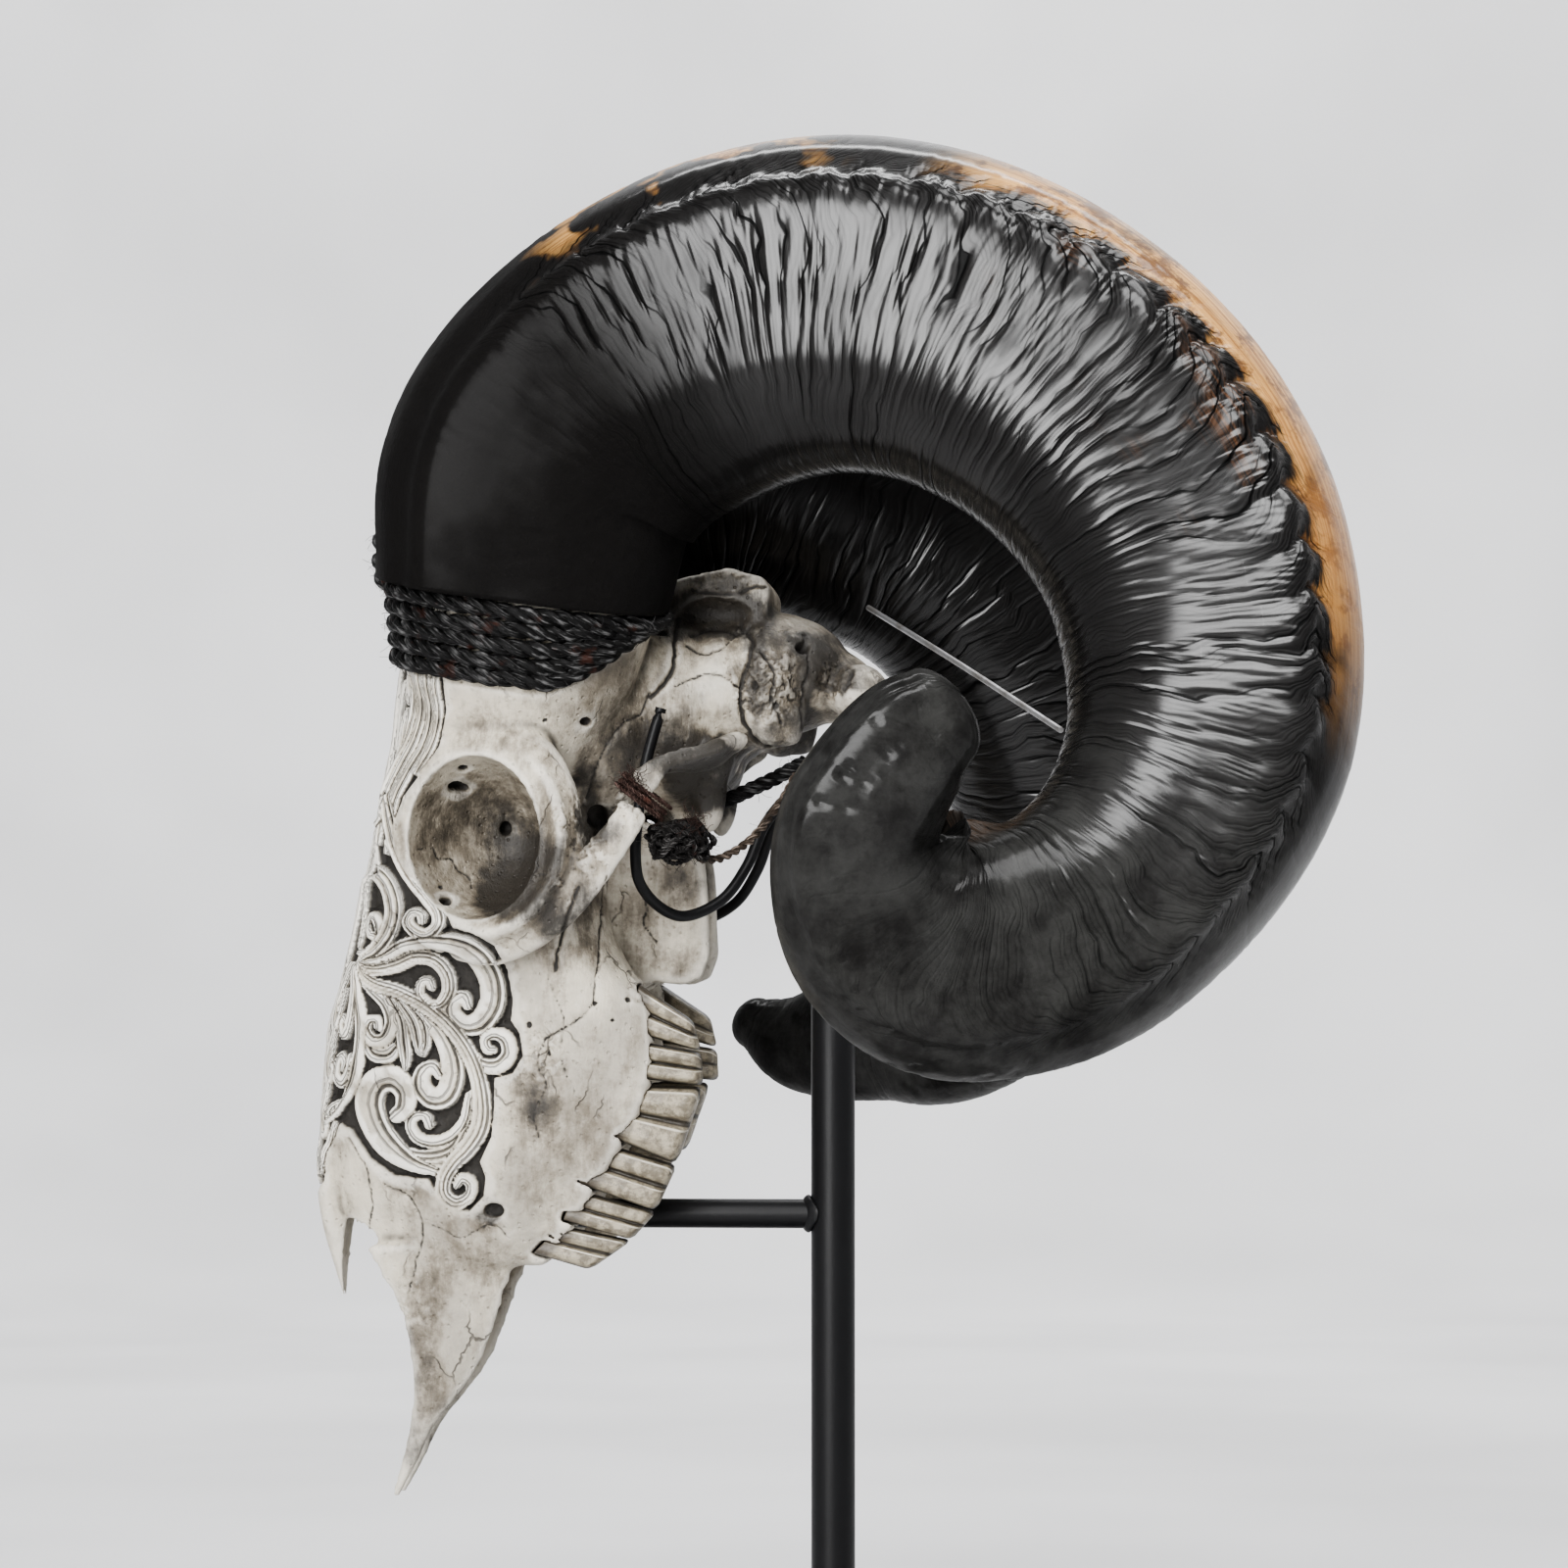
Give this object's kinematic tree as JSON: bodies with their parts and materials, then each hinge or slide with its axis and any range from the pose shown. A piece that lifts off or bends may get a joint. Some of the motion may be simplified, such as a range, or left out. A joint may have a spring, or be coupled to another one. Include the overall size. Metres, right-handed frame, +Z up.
{
  "type": "carved ram skull",
  "caption": "Ram skull with large curled black horns and leaf scrolls carved in the face, held nose down on a black metal stand.",
  "frame": {"origin": "on the ground, on the axis of the stand's pole, at the underside of its base", "axes": "+Z up along the pole, the nose end of the face faces -Y, +X is the animal's left"},
  "size_m": [0.3257, 0.2842, 0.4471],
  "materials": {
    "bone": "dry weathered bone",
    "teeth": "satin",
    "horn": "polished, dark",
    "rope": "coarse fibre",
    "string": "coarse fibre",
    "stand": "satin black",
    "wire": "dull"
  },
  "bodies": {
    "root": {"skull": "bone", "tooth_left_1": "teeth", "tooth_left_2": "teeth", "tooth_left_3": "teeth", "tooth_left_4": "teeth", "tooth_left_5": "teeth", "tooth_left_6": "teeth", "tooth_right_1": "teeth", "tooth_right_2": "teeth", "tooth_right_3": "teeth", "tooth_right_4": "teeth", "tooth_right_5": "teeth", "tooth_right_6": "teeth", "horn_left": "horn", "horn_right": "horn", "rope_left": "rope", "rope_right": "rope", "rope_crossing": "rope", "black_cord": "rope", "arch_string_left": "string", "arch_string_right": "string", "string_knot": "string", "brown_cord": "string", "stand_base": "stand", "stand_pole": "stand", "stand_arm": "stand", "hook_left": "stand", "hook_right": "stand", "horn_wire": "wire"}
  },
  "joints": []
}
